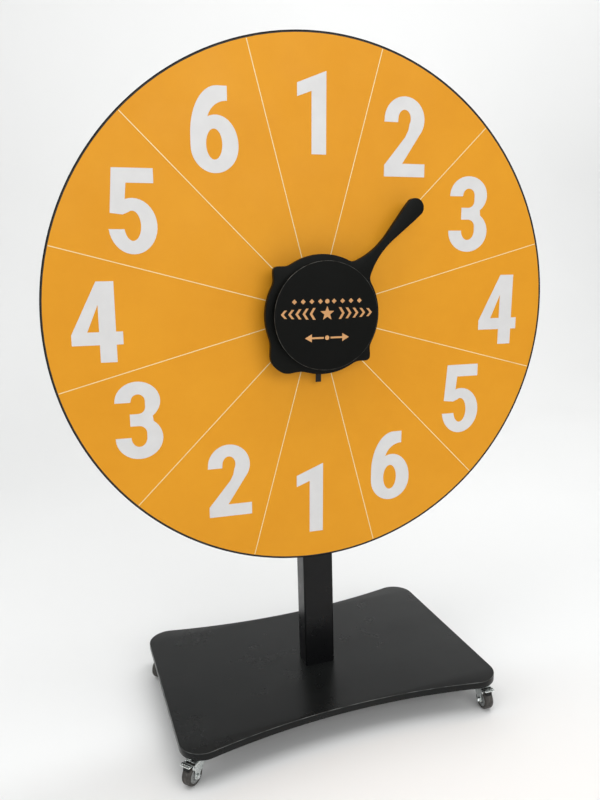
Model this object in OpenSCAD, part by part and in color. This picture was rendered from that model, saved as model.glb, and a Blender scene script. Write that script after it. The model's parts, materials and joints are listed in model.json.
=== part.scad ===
// Floor-standing prize spinner: a fixed numbered dial on a wheeled stand,
// with a frying-pan-shaped pointer that turns on ball bearings in front of it.
// Origin: on the floor, below the dial's centre line and midway from front to back of the
// base. +X right, -Y front, +Z up.
// Units are millimetres.

/* [Stand] */
// Height of the dial centre above the floor
dial_z = 1008; // [900:1:1100]
// Distance of the dial face in front of the base centre
dial_y = 68; // [60:1:90]
// Post width, across the front
post_w = 78; // [60:1:90]
// Post depth, front to back
post_d = 60; // [50:1:70]
// Post wall thickness
post_wall = 2; // [1.5:0.5:3]
// Height of the post top above the dial centre
post_over = 170; // [165:5:300]

/* [Base board] */
// Base width between its straight sides
base_w = 810; // [760:10:860]
// Base depth between its unrounded corner tips
base_d = 574; // [550:2:620]
// Depth of the waist in the front and back edges
base_waist = 52; // [20:1:70]
// Corner radius
base_r = 55; // [40:1:70]
// Board thickness
base_t = 18; // [15:1:25]

// Turn of the base on the foot of the post, anticlockwise from above
base_turn = 2.2; // [-3:0.1:3]
// Sideways shift of the base from the middle of the dial
base_shift = -3; // [-10:0.5:10]

/* [Casters] */
// Swivel axis distance of the front casters from the base centre, sideways
caster_x = 368; // [340:1:370]
// Swivel axis distance of the front casters from the base centre, front to back
caster_y = 232.5; // [210:0.5:235]
// Swivel axis distance of the rear casters from the base centre, sideways
rear_caster_x = 372; // [340:1:375]
// Swivel axis distance of the rear casters from the base centre, front to back
rear_caster_y = 211; // [200:1:235]
// Height from the floor to the underside of the base board
caster_h = 70; // [70:1:80]
// Wheel diameter
wheel_d = 50; // [50:1:50]
// Wheel tread width
wheel_w = 24; // [18:0.5:26]
// Trail of the axle behind the swivel axis
trail = 20; // [20:1:24]

/* [Dial] */
// Outer diameter of the dial
dial_d = 1210; // [1100:10:1240]
// Dial board thickness
dial_t = 18; // [12:1:20]
// Edge band thickness
band_t = 2; // [1:0.5:3]
// Black margin between the printed face and the outer edge
margin = 5; // [3:0.5:10]
// Number of sectors
sectors = 12; // [12:1:12]
// Width of the lines between sectors
line_w = 2; // [1:0.1:5]
// Thickness of the printed face and of the vinyl on it
print_t = 0.5; // [0.3:0.1:1]
// Thickness of the numerals and lines
vinyl_t = 0.3; // [0.2:0.1:0.5]

// Turn of the printed face and the pointer, clockwise, as the dial is hung slightly off true
dial_turn = 1.4; // [-3:0.1:3]

/* [Pointer] */
// Radius of the pan
pan_r = 135; // [130:1:140]
// Distance from the centre to the end of the handle
handle_end = 345; // [330:1:360]
// Angle of the handle, clockwise from straight up
handle_angle = 43; // [0:1:359]
// Distance of the pan's back from the dial face
pan_gap = 38; // [36:1:44]
// Pan thickness
pan_t = 15; // [12:1:18]

/* [Cover] */
// Radius of the fixed cover disc
cover_r = 121.5; // [110:0.5:125]
// Thickness of the cover disc
cover_t = 3; // [3:0.5:5]
// Distance of the cover's front from the dial face
cover_front = 79; // [78:0.5:84]

/* [Hidden] */
$fn = 72;

black = [0.07, 0.07, 0.075];
charcoal = [0.16, 0.165, 0.165];
orange = [0.90, 0.60, 0.13];
pale = [0.86, 0.87, 0.88];
cream = [0.98, 0.86, 0.60];
peach = [0.93, 0.72, 0.48];
zinc = [0.74, 0.78, 0.78];
steel = [0.62, 0.63, 0.65];
alloy = [0.72, 0.73, 0.75];
rubber = [0.27, 0.25, 0.24];

// Running clearance on a radius
run = 0.08;

// Post: its front stands against the mounting plate behind the dial
plate_t = 5;
board_back = -dial_t - print_t;
plate_back = board_back - plate_t;
post_front_y = -dial_y - plate_back;
post_y = post_front_y + post_d / 2;
base_top = caster_h + base_t;
post_top = dial_z + post_over;
post_r = 5;

// Post foot
end_plate_t = 10;
under_plate_t = 4;
foot_bolt_x = 22;
foot_bolt_y = 16;
bolt_r = 4;

// Mounting plate behind the dial, and the spindle's hole in the dial
plate_w = 260;
plate_h = 320;
plate_screw_x = 110;
plate_screw_v = [-140, -50, 50, 140];
post_bolt_x = 20;
post_bolt_v = 110;
wood_screw_r = 2.5;
dial_hole_r = 45;

// Spindle and bearings, measured along the axis from the dial face
shoulder = 12;
brg_in = 10;
brg_out = 21;
brg_w = 12;
brg_2 = 39;
brg_balls = 9;
ball_r = 3.2;
race_gap = 2;
race_mid = (brg_in + brg_out) / 2;
nut_top = brg_2 + brg_w + 9;
spindle_end = 68;
boss_back = spindle_end - 7;
boss_flange = 5;
pad_t = 1;
flange_r = 55;
flange_t = 6;
hub_r = 27;
boss_r = 45;

// Click studs on the back of the pan, and the tongue that they pluck
stud_ring = 118;
stud_r = 4;
stud_tip = 16;
tongue_w = 13;
tongue_back = 18.2;
tongue_t = 1.6;
tongue_pivot_v = -80;
tongue_end_v = -159;
tongue_pin_r = 3;

// Caster details, heights above the floor
axle_z = wheel_d / 2;
core_r = 17.5;
tyre_round = 6;
crown_t = 2.5;
crown_top = 57;
cheek_in = wheel_w / 2 + 1.3;
cheek_t = 2.3;
axle_r = 3;
king_r = 4;
race_low = 60.2;
plate_low = caster_h - 2.5;
plate_half = 23;
plate_hole = 16.5;
pin_x = 29.5;
pin_z = 52.5;
pin_r = 1.5;
brake_gap = 3;
tread_w = 28;
tread_l = 9;
tread_t = 2;
tread_up = 5;

// Swivel axis place, direction of trail in degrees from +X, and whether it has a brake
FL = [-caster_x, -caster_y, 220, true];
FR = [caster_x, -caster_y, 268, true];
RL = [-rear_caster_x, rear_caster_y, 230, false];
RR = [rear_caster_x, rear_caster_y, 255, false];
CASTERS = [FL, FR, RL, RR];

// Numeral and place of its middle on the dial, clockwise from the top
NUMBERS = [
  [1, -10, 437], [2, 214, 395], [3, 387, 225], [4, 482, -7],
  [5, 387, -229], [6, 197, -389], [1, -14, -452], [2, -212, -386],
  [3, -414, -226], [4, -492, -6], [5, -406, 224], [6, -228, 393]
];

// ---------- outlines ----------

// Points along an elliptical arc
function arc(cx, cy, rx, ry, a0, a1, n) =
  [for (i = [0:n]) let (a = a0 + (a1 - a0) * i / n) [cx + rx * cos(a), cy + ry * sin(a)]];

function cross2(a, b) = a[0] * b[1] - a[1] * b[0];
function unit(v) = v / norm(v);

// Outward normal of an anticlockwise outline at point i
function normal(p, i) =
  let (n = len(p), t = unit(unit(p[(i + 1) % n] - p[i]) + unit(p[i] - p[(i + n - 1) % n])))
  [t[1], -t[0]];

// The outline moved inwards by d
function inset(p, d) = [for (i = [0:len(p) - 1]) p[i] - d * normal(p, i)];

// A plate with its two edges rounded to radius r, from z = 0 to z = t
module rounded_plate(p, t, r, steps = 3) {
  n = len(p);
  low = [for (k = [0:steps]) let (a = 90 * k / steps) [r - r * sin(a), r - r * cos(a)]];
  levels = concat(low, [for (k = [steps:-1:0]) [low[k][0], t - low[k][1]]]);
  points = [for (l = levels) each [for (q = inset(p, l[0])) [q[0], q[1], l[1]]]];
  m = len(levels);
  walls = [
    for (j = [0:m - 2]) for (i = [0:n - 1])
      let (a = j * n + i, b = j * n + (i + 1) % n)
        each [[a, b + n, b], [a, a + n, b + n]]
  ];
  floor_face = [for (i = [0:n - 1]) i];
  top_face = [for (i = [n - 1:-1:0]) (m - 1) * n + i];
  polyhedron(points, concat([floor_face], walls, [top_face]));
}

// Base board outline: straight sides, waisted front and back, rounded corners
function base_outline() =
  let (
    half = base_w / 2,
    big = (half * half + base_waist * base_waist) / (2 * base_waist),
    far = base_d / 2 + big - base_waist,
    cx = half - base_r,
    cy = far - sqrt(pow(big + base_r, 2) - cx * cx),
    turn = atan2(far - cy, cx),
    front = [for (x = [-8:8]) let (a = x * (90 - turn) / 8) [big * sin(a), big * cos(a) - far]],
    near = arc(cx, -cy, base_r, base_r, 188 + turn, 360, 11),
    back = arc(cx, cy, base_r, base_r, 0, 172 - turn, 11),
    right = concat(front, near, back)
  )
  concat(right, [for (q = right) [-q[0], -q[1]]]);

// Distance of the pan's rim from its centre at an angle from the handle:
// a round pan with a pouring lip on each side and a lobe opposite the handle
function lip(a) = 19.5 * exp(-pow(a / 7, 2));
function lobe(a) = 26 * exp(-pow(abs(a) / 15.5, 3));
function rim(a) = pan_r + lip(a - 90) + lip(a - 270) + lobe(a - 180);

// Half-width of the handle at a distance from the pan's centre
neck_at = 212;
neck_half = 9;
flare_r = 175;
swell_r = 200;
swell_angle = 7.4;
end_r = 21.4;
function handle_half(s) =
  s < neck_at
    ? neck_half + flare_r - sqrt(pow(flare_r, 2) - pow(neck_at - s, 2)) + 12 * exp((129 - s) / 3)
    : s < neck_at + swell_r * sin(swell_angle)
      ? neck_half + swell_r - sqrt(pow(swell_r, 2) - pow(s - neck_at, 2))
      : neck_half + swell_r * (1 - cos(swell_angle))
        + (s - neck_at - swell_r * sin(swell_angle)) * tan(swell_angle);

// Pan and handle, with the handle along +X
join_s = 131;
function pan_outline() =
  let (
    start = atan2(handle_half(join_s), join_s),
    side = [for (s = [join_s, 134, 138, 144, each [152:12:308]]) [s, handle_half(s)]],
    back = len(side) - 1,
    end_c = handle_end - end_r,
    first = ceil(start / 3) * 3 + 3
  )
  concat(
    [for (i = [0:back]) [side[i][0], -side[i][1]]],
    arc(end_c, 0, end_r, end_r, swell_angle - 90, 90 - swell_angle, 16),
    [for (i = [back:-1:0]) side[i]],
    [for (a = [first:3:360 - first]) rim(a) * [cos(a), sin(a)]]
  );

// ---------- small shared solids ----------

// Puts children on the base as it stands, slightly turned
module on_base() {
  translate([base_shift, 0, 0]) rotate([0, 0, base_turn]) children();
}

// Puts children on the dial: x right, y up, z out of the dial towards the front
module on_dial() {
  translate([0, -dial_y, dial_z]) rotate([90, 0, 0]) children();
}

// Puts children on the dial as it hangs, slightly turned
module on_face() {
  on_dial() rotate([0, 0, -dial_turn]) children();
}

// A tube or disc between two heights
module ring(r, inner, low, high) {
  difference() {
    translate([0, 0, low]) cylinder(r = r, h = high - low);
    if (inner > 0) translate([0, 0, low - 1]) cylinder(r = inner, h = high - low + 2);
  }
}

// A block with round vertical corners, standing on z = low
module round_block(w, d, r, low, high) {
  translate([0, 0, low]) linear_extrude(high - low) {
    square([w - 2 * r, d], center = true);
    square([w, d - 2 * r], center = true);
    for (x = [-1, 1], y = [-1, 1]) translate([x * (w / 2 - r), y * (d / 2 - r)]) circle(r = r);
  }
}

// Hexagon of a width across its flats
module hexagon(flats, low, high) {
  translate([0, 0, low]) cylinder(r = flats / 2 / cos(30), h = high - low, $fn = 6);
}

// Hexagon bolt: the head spans z = -head..0 and the shank rises above it
module hex_bolt(r, length, flats, head) {
  hexagon(flats, -head, 0);
  cylinder(r = r, h = length);
}

// Round-headed screw: the head is below z = 0 and the shank rises above it
module pan_screw(r, length, head_r, head) {
  difference() {
    union() {
      rotate_extrude() polygon(concat([[0, 0]], arc(0, 0, head_r, head, 0, -90, 6)));
      cylinder(r = r, h = length);
    }
    for (a = [0, 90]) rotate([0, 0, a]) translate([-r, -0.5, -head - 1]) cube([2 * r, 1, 2]);
  }
}

// ---------- base ----------

module base_board() color(charcoal) on_base() difference() {
  translate([0, 0, caster_h]) rounded_plate(base_outline(), base_t, 1.6);
  for (x = [-1, 1], y = [-1, 1])
    translate([x * foot_bolt_x, post_y + y * foot_bolt_y, caster_h - 1])
      cylinder(r = bolt_r + 0.3, h = base_t + 2);
  for (c = CASTERS, x = [-1, 1], y = [-1, 1])
    translate([c[0] + x * plate_hole, c[1] + y * plate_hole, caster_h - 1])
      cylinder(r = wood_screw_r, h = 14);
}

module under_plate() color(black) on_base() difference() {
  translate([0, post_y, 0]) round_block(170, 130, 10, caster_h - under_plate_t, caster_h);
  for (x = [-1, 1], y = [-1, 1])
    translate([x * foot_bolt_x, post_y + y * foot_bolt_y, caster_h - under_plate_t - 1])
      cylinder(r = bolt_r + 0.3, h = under_plate_t + 2);
}

module post_bolts() color(zinc) on_base()
  for (x = [-1, 1], y = [-1, 1])
    translate([x * foot_bolt_x, post_y + y * foot_bolt_y, caster_h - under_plate_t])
      hex_bolt(bolt_r, under_plate_t + base_t + end_plate_t - 1, 13, 5.5);

module post_end_plate() color(black) difference() {
  translate([0, post_y, 0])
    round_block(post_w - 2 * post_wall, post_d - 2 * post_wall, post_r - post_wall,
                base_top, base_top + end_plate_t);
  on_base() for (x = [-1, 1], y = [-1, 1])
    translate([x * foot_bolt_x, post_y + y * foot_bolt_y, base_top - 1])
      cylinder(r = bolt_r, h = end_plate_t);
}

module post_tube() color(black) difference() {
  translate([0, post_y, 0]) round_block(post_w, post_d, post_r, base_top, post_top);
  translate([0, post_y, 0])
    round_block(post_w - 2 * post_wall, post_d - 2 * post_wall, post_r - post_wall,
                base_top - 1, post_top + 1);
  for (x = [-1, 1], v = [-1, 1])
    translate([x * post_bolt_x, post_front_y - 1, dial_z + v * post_bolt_v])
      rotate([-90, 0, 0]) cylinder(r = bolt_r + 0.3, h = post_d + 2);
}

module post_cap() color(black) translate([0, post_y, 0]) {
  round_block(post_w, post_d, post_r, post_top, post_top + 3);
  difference() {
    round_block(post_w - 2 * post_wall, post_d - 2 * post_wall, post_r - post_wall,
                post_top - 14, post_top);
    round_block(post_w - 2 * post_wall - 5, post_d - 2 * post_wall - 5, 2,
                post_top - 15, post_top);
  }
}

// ---------- dial and its mounting ----------

module mounting_plate() color(black) on_dial() difference() {
  round_block(plate_w, plate_h, 12, plate_back, board_back);
  for (x = [-1, 1], v = [-1, 1])
    translate([x * post_bolt_x, v * post_bolt_v, plate_back - 1])
      cylinder(r = bolt_r, h = plate_t + 2);
  for (x = [-1, 1], v = plate_screw_v)
    translate([x * plate_screw_x, v, plate_back - 1])
      cylinder(r = wood_screw_r + 0.3, h = plate_t + 2);
  for (a = [45:90:315])
    rotate([0, 0, a]) translate([28, 0, plate_back - 1]) cylinder(r = 3, h = plate_t + 2);
}

module plate_bolts() color(zinc) on_dial()
  for (x = [-1, 1], v = [-1, 1])
    translate([x * post_bolt_x, v * post_bolt_v, plate_back - post_d])
      hex_bolt(bolt_r, post_d + plate_t - 0.2, 13, 5.5);

module plate_screws() color(zinc) on_dial()
  for (x = [-1, 1], v = plate_screw_v)
    translate([x * plate_screw_x, v, plate_back])
      pan_screw(wood_screw_r, plate_t + 13, 4.6, 2.8);

module dial_board() color(charcoal) on_dial() difference() {
  ring(dial_d / 2 - band_t, dial_hole_r, board_back, -print_t);
  for (x = [-1, 1], v = plate_screw_v)
    translate([x * plate_screw_x, v, board_back - 1]) cylinder(r = wood_screw_r, h = 15);
  rotate([0, 0, -dial_turn])
    translate([0, tongue_pivot_v, -15]) cylinder(r = tongue_pin_r, h = 20);
}

module dial_edge_band() color(black) on_dial() rotate_extrude($fn = 180)
  polygon([
    [dial_d / 2 - band_t, board_back],
    each arc(dial_d / 2 - 1, board_back + 1, 1, 1, 270, 360, 4),
    each arc(dial_d / 2 - 1, -1, 1, 1, 0, 90, 4),
    [dial_d / 2 - band_t, 0]
  ]);

module dial_face() color(orange) on_face() difference() {
  ring(dial_d / 2 - margin, dial_hole_r, -print_t, 0);
  translate([0, tongue_pivot_v, -1]) cylinder(r = tongue_pin_r + 0.2, h = 2);
}

module sector_lines() color(cream) on_face()
  for (i = [0:sectors - 1])
    rotate([0, 0, (i + 0.5) * 360 / sectors])
      translate([dial_hole_r + 2, -line_w / 2, 0])
        cube([dial_d / 2 - margin - dial_hole_r - 3, line_w, vinyl_t]);

module numeral(d) {
  if (d == 1) polygon([[-34, 61], [-34, 33], [-1, 45.5], [-1, -86], [33, -86], [33, 88]]);
  if (d == 2) polygon(concat(
    [[-51.5, 32]],
    [[-17.5, 32]],
    arc(-1.5, 40, 15.5, 19.5, 180, -35, 14),
    [[8.5, 15], [1, 0], [-50, -62], [-50, -87], [52, -87], [52, -58], [-5, -58]],
    arc(-1.25, 38, 49.75, 50, -40, 182, 24)
  ));
  if (d == 3) polygon(concat(
    [[-50.5, 42], [-17, 42]],
    arc(-0.5, 44, 15.5, 16, 180, 0, 12),
    arc(-1, 31, 16, 15.5, 0, -90, 8),
    [[-19, 15.5], [-19, -12]],
    arc(0, -29, 17, 17, 90, 0, 8),
    arc(-0.5, -38, 17.5, 22, 0, -180, 14),
    [[-52, -38]],
    arc(0, -40, 52, 48, -178, 52, 26),
    arc(-1, 44, 49.5, 44.5, -50, 180, 24)
  ));
  if (d == 4) difference() {
    polygon([
      [3, 87], [-53, -25], [-53, -48], [4.5, -48], [4.5, -86], [39.5, -86],
      [39.5, -48], [54, -48], [54, -20], [39.5, -20], [39.5, 87]
    ]);
    polygon([[4.5, 38], [-20, -20], [4.5, -20]]);
  }
  if (d == 5) polygon(concat(
    [[-39, 88], [-46, -3], [-20, -6]],
    arc(-0.5, -29, 17.5, 31, 115, -167, 24),
    [[-51, -36]],
    arc(0.5, -30, 50.5, 57.7, -173, 107, 30),
    [[-11, 58], [46, 58], [46, 88]]
  ));
  if (d == 6) difference() {
    polygon(concat(
      [[29, 89]],
      arc(8, -10, 59, 99, 90, 180, 14),
      arc(0.5, -33, 51.5, 54.5, 180, 357, 22),
      arc(4, -30, 48, 61, 2, 112, 14),
      arc(29, 15, 44, 44.5, 162, 90, 10)
    ));
    polygon(arc(-0.5, -28.5, 17.5, 31.5, 0, 345, 23));
  }
}

module dial_numbers() color(pale) on_face()
  for (n = NUMBERS) translate([n[1], n[2], 0]) linear_extrude(vinyl_t) numeral(n[0]);

// ---------- fixed spindle and cover ----------

module spindle() color(steel) on_dial() difference() {
  union() {
    ring(40, 0, board_back, board_back + 8);
    ring(brg_in + 3, 0, board_back + 8, shoulder);
    ring(brg_in, 0, shoulder, spindle_end);
  }
  translate([0, 0, spindle_end - 22]) cylinder(r = 4, h = 23);
  for (a = [45:90:315]) rotate([0, 0, a]) translate([28, 0, 0]) {
    translate([0, 0, board_back - 1]) cylinder(r = 3, h = 12);
    translate([0, 0, board_back + 5]) cylinder(r1 = 3, r2 = 6.2, h = 3.01);
  }
}

module spindle_screws() color(zinc) on_dial()
  for (a = [45:90:315]) rotate([0, 0, a]) translate([28, 0, 0]) {
    translate([0, 0, plate_back + 0.5]) cylinder(r = 3, h = plate_t + 5);
    difference() {
      translate([0, 0, board_back + 5]) cylinder(r1 = 3, r2 = 6, h = 2.9);
      hexagon(4, board_back + 6, board_back + 9);
    }
  }

module brg_groove() translate([race_mid, brg_w / 2]) circle(r = ball_r + 0.1);

module bearing_inner_rings() color(steel) on_dial()
  for (z = [shoulder, brg_2]) translate([0, 0, z]) rotate_extrude() difference() {
    translate([brg_in, 0]) square([race_mid - race_gap - brg_in, brg_w]);
    brg_groove();
  }

module bearing_outer_rings() color(steel) on_dial()
  for (z = [shoulder, brg_2]) translate([0, 0, z]) rotate_extrude() difference() {
    translate([race_mid + race_gap, 0]) square([brg_out - race_mid - race_gap, brg_w]);
    brg_groove();
  }

module bearing_balls() color(zinc) on_dial()
  for (z = [shoulder, brg_2], i = [0:brg_balls - 1])
    rotate([0, 0, i * 360 / brg_balls])
      translate([race_mid, 0, z + brg_w / 2]) sphere(r = ball_r);

module bearing_spacer() color(alloy) on_dial()
  ring(brg_in + 3, brg_in, shoulder + brg_w, brg_2);

module spindle_nut() color(zinc) on_dial() difference() {
  hexagon(30, brg_2 + brg_w, nut_top);
  translate([0, 0, brg_2 + brg_w - 1]) cylinder(r = brg_in, h = 12);
}

module cover_boss() color(alloy) on_dial() {
  flange_back = cover_front - cover_t - pad_t - boss_flange;
  difference() {
    union() {
      ring(16, 0, boss_back, flange_back);
      ring(boss_r, 0, flange_back, flange_back + boss_flange);
    }
    translate([0, 0, boss_back - 1]) cylinder(r = brg_in + 0.05, h = spindle_end - boss_back + 1);
    translate([0, 0, spindle_end - 1]) cylinder(r = 4.3, h = 20);
    translate([0, 0, flange_back - 0.5]) cylinder(r = 7, h = boss_flange + 1);
  }
}

module boss_screw() color(zinc) on_dial() {
  seat = cover_front - cover_t - pad_t - boss_flange - 0.5;
  translate([0, 0, spindle_end - 14]) cylinder(r = 4, h = seat - spindle_end + 14);
  difference() {
    ring(6.5, 0, seat, seat + 5);
    hexagon(5, seat + 2, seat + 6);
  }
}

module cover_pad() color(black) on_dial()
  ring(boss_r, 8, cover_front - cover_t - pad_t, cover_front - cover_t);

// Cover's flush ornament: a star, a row of arrowheads on each side and a double arrow
module star(r) polygon([for (i = [0:9]) (i % 2 == 0 ? r : 0.42 * r) * [sin(i * 36), cos(i * 36)]]);

module arrowhead(w, h, t)
  polygon([[0, h / 2], [t, h / 2], [t + w, 0], [t, -h / 2], [0, -h / 2], [w, 0]]);

module emblem_outline() {
  for (s = [-1, 1]) {
    for (i = [0:4]) translate([s * (27 + i * 16.5), 6]) scale([s, 1]) arrowhead(8, 26 - 2 * i, 6);
    for (i = [0:3]) translate([s * (16 + i * 20), 33]) rotate([0, 0, 45]) square(8, center = true);
    translate([s * 8, -48]) scale([s, 1]) {
      polygon([[28, 9], [44, 0], [28, -9]]);
      translate([0, -2]) square([28, 4]);
    }
  }
  translate([0, 6]) star(17);
  translate([0, 33]) circle(r = 5);
  translate([0, -48]) circle(r = 5);
}

module cover_disc() color(black) on_dial() difference() {
  translate([0, 0, cover_front - cover_t]) rotate_extrude($fn = 120) polygon(concat(
    [[0, 0]],
    arc(cover_r - 0.8, 0.8, 0.8, 0.8, 270, 360, 4),
    arc(cover_r - 0.8, cover_t - 0.8, 0.8, 0.8, 0, 90, 4),
    [[0, cover_t]]
  ));
  rotate([0, 0, -dial_turn])
    translate([0, 0, cover_front - vinyl_t]) linear_extrude(1) emblem_outline();
}

module cover_emblem() color(peach) on_face()
  translate([0, 0, cover_front - vinyl_t]) linear_extrude(vinyl_t) emblem_outline();

// ---------- turning pointer ----------

module bearing_housing() color(alloy) on_face() difference() {
  union() {
    ring(hub_r, 0, shoulder - 2, pan_gap - flange_t);
    ring(flange_r, 0, pan_gap - flange_t, pan_gap);
    ring(hub_r - 0.1, 0, pan_gap, pan_gap + pan_t - 1);
  }
  translate([0, 0, shoulder - 3]) cylinder(r = brg_out, h = brg_w + 3);
  translate([0, 0, shoulder]) cylinder(r = brg_out - 3, h = brg_2);
  translate([0, 0, brg_2]) cylinder(r = brg_out, h = 20);
  for (a = [30:60:330]) rotate([0, 0, a]) translate([44, 0, pan_gap - flange_t - 1])
    cylinder(r = wood_screw_r + 0.2, h = flange_t + 2);
}

// Screws of the housing flange and of the balance weight, all driven from the back
weight_in = 62;
weight_out = 112;
weight_span = 68;
weight_t = 6;
weight_holes = [150, 180, 210];
weight_hole_r = 90;
module pointer_turn() rotate([0, 0, 90 - handle_angle]) children();
module at_weight_holes()
  pointer_turn() for (a = weight_holes) rotate([0, 0, a]) translate([weight_hole_r, 0, 0]) children();

module pointer_screws() color(zinc) on_face() {
  for (a = [30:60:330]) rotate([0, 0, a]) translate([44, 0, pan_gap - flange_t])
    pan_screw(wood_screw_r, flange_t + 10, 4.6, 2.8);
  at_weight_holes() translate([0, 0, pan_gap - weight_t])
    pan_screw(wood_screw_r, weight_t + 10, 4.6, 2.8);
}

module pan_pointer() color(black) on_face() difference() {
  pointer_turn() translate([0, 0, pan_gap]) linear_extrude(pan_t) polygon(pan_outline());
  translate([0, 0, pan_gap - 1]) cylinder(r = hub_r, h = pan_t + 2);
  for (a = [30:60:330])
    rotate([0, 0, a]) translate([44, 0, pan_gap - 1]) cylinder(r = wood_screw_r, h = 11.5);
  at_weight_holes() translate([0, 0, pan_gap - 1]) cylinder(r = wood_screw_r, h = 11.5);
  for (i = [0:sectors - 1])
    rotate([0, 0, (i + 0.5) * 360 / sectors])
      translate([stud_ring, 0, pan_gap - 1]) cylinder(r = stud_r - 1, h = 9);
}

module click_studs() color(steel) on_face()
  for (i = [0:sectors - 1])
    rotate([0, 0, (i + 0.5) * 360 / sectors]) translate([stud_ring, 0, 0]) {
      translate([0, 0, stud_tip]) rotate_extrude() polygon(concat(
        [[0, 0]],
        arc(stud_r - 2, 2, 2, 2, 270, 360, 4),
        [[stud_r, pan_gap - stud_tip], [0, pan_gap - stud_tip]]
      ));
      translate([0, 0, pan_gap]) cylinder(r = stud_r - 1, h = 7.8);
    }

// Curved steel plate opposite the handle that balances it
module balance_weight() color(steel) on_face() difference() {
  pointer_turn() rotate([0, 0, 180 - weight_span / 2]) translate([0, 0, pan_gap - weight_t])
    rotate_extrude(angle = weight_span) translate([weight_in, 0])
      square([weight_out - weight_in, weight_t]);
  at_weight_holes() translate([0, 0, pan_gap - weight_t - 1])
    cylinder(r = wood_screw_r + 0.2, h = weight_t + 2);
}

// ---------- hanging click tongue ----------

module click_tongue() color(black) on_face() difference() {
  translate([0, 0, tongue_back]) linear_extrude(tongue_t) {
    translate([-tongue_w / 2, tongue_end_v]) square([tongue_w, tongue_pivot_v - tongue_end_v]);
    translate([0, tongue_pivot_v]) circle(r = tongue_w / 2);
  }
  translate([0, tongue_pivot_v, tongue_back - 1]) cylinder(r = tongue_pin_r + run, h = 4);
}

module tongue_pivot() color(zinc) on_face() translate([0, tongue_pivot_v, 0]) {
  head = tongue_back + tongue_t + 0.3;
  translate([0, 0, -14]) cylinder(r = tongue_pin_r, h = 14 + head);
  ring(6.5, 0, 0, tongue_back - 0.3);
  hexagon(10, head, head + 3);
}

// ---------- casters ----------

module at_swivel(c) on_base() translate([c[0], c[1], 0]) children();
module in_caster(c) at_swivel(c) rotate([0, 0, c[2]]) children();
module in_wheel(c) in_caster(c) translate([trail, 0, axle_z]) rotate([90, 0, 0]) children();

module caster_plates() color(zinc) for (c = CASTERS) at_swivel(c) difference() {
  round_block(2 * plate_half, 2 * plate_half, 6, plate_low, caster_h);
  for (x = [-1, 1], y = [-1, 1])
    translate([x * plate_hole, y * plate_hole, plate_low - 1])
      cylinder(r = wood_screw_r + 0.3, h = 5);
  translate([0, 0, plate_low - 1]) cylinder(r = king_r + 0.2, h = 5);
}

module caster_races() color(black) for (c = CASTERS) at_swivel(c) rotate_extrude()
  polygon([
    [king_r + 0.2, race_low], [14.5, race_low], [14.5, crown_top + 0.4], [18, crown_top + 0.4],
    [18, plate_low - 3.5], [16, plate_low], [king_r + 0.2, plate_low]
  ]);

module caster_kingpins() color(zinc) for (c = CASTERS) at_swivel(c) {
  under = crown_top - crown_t - 0.1;
  ring(king_r, 0, under, caster_h - 0.1);
  ring(8, 0, under - 2.5, under);
}

module caster_balls() color(steel) for (c = CASTERS) at_swivel(c)
  for (a = [0:36:324]) rotate([0, 0, a]) translate([11, 0, (race_low + crown_top) / 2])
    sphere(r = (race_low - crown_top) / 2 - 0.1);

module caster_screws() color(zinc) for (c = CASTERS) at_swivel(c)
  for (x = [-1, 1], y = [-1, 1])
    translate([x * plate_hole, y * plate_hole, plate_low])
      pan_screw(wood_screw_r, 14, 4.5, 2.2);

// Cheek outline in the plane of the wheel: x along the trail, y up
module cheek_outline(brake) {
  back = brake ? pin_x + 4 : pin_x - 3;
  polygon([
    [-13, crown_top], [-13, crown_top - 6], [trail - 8, axle_z],
    [trail + 8, axle_z], [back, crown_top - 8], [back, crown_top]
  ]);
  translate([trail, axle_z]) circle(r = 8);
}

module caster_fork(c) color(zinc) in_caster(c) difference() {
  union() {
    for (y = [-cheek_in, cheek_in + cheek_t])
      translate([0, y, 0]) rotate([90, 0, 0]) linear_extrude(cheek_t) cheek_outline(c[3]);
    translate([-13, -cheek_in - 0.01, crown_top - crown_t])
      cube([35, 2 * cheek_in + 0.02, crown_t]);
    translate([0, 0, crown_top - crown_t]) cylinder(r = 17, h = crown_t);
  }
  translate([0, 0, crown_top - 5]) cylinder(r = king_r + run, h = 8);
  translate([trail, 20, axle_z]) rotate([90, 0, 0]) cylinder(r = axle_r, h = 40);
  if (c[3]) translate([pin_x, 20, pin_z]) rotate([90, 0, 0]) cylinder(r = pin_r, h = 40);
}

module caster_axle(c) color(steel) in_wheel(c) {
  out = cheek_in + cheek_t;
  hexagon(10, -out - 4, -out);
  translate([0, 0, -out]) cylinder(r = axle_r, h = 2 * out + 6.5);
  difference() {
    hexagon(10, out, out + 5);
    translate([0, 0, out - 1]) cylinder(r = axle_r + 0.01, h = 8);
  }
}

module caster_core(c) color(pale) in_wheel(c) rotate_extrude() {
  hub_half = cheek_in - 0.4;
  side = wheel_w / 2 - 1.5;
  half = [
    [axle_r + run, hub_half], [7.5, hub_half], [8.5, 7], [11.5, 6.5], [12, side - 0.1],
    [14, side - 0.1], [14.5, side - 2], [15.5, side - 2], [16, side], [core_r, side]
  ];
  polygon(concat(half, [for (i = [len(half) - 1:-1:0]) [half[i][0], -half[i][1]]]));
}

module caster_tyre(c) color(rubber) in_wheel(c) rotate_extrude() {
  r = wheel_d / 2;
  polygon(concat(
    [[core_r, wheel_w / 2 - 1.5], [core_r, -wheel_w / 2 + 1.5]],
    arc(r - tyre_round, -wheel_w / 2 + tyre_round, tyre_round, tyre_round, 270, 350, 5),
    [[r, -2.5], [r, 2.5]],
    arc(r - tyre_round, wheel_w / 2 - tyre_round, tyre_round, tyre_round, 10, 90, 5)
  ));
}

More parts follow.
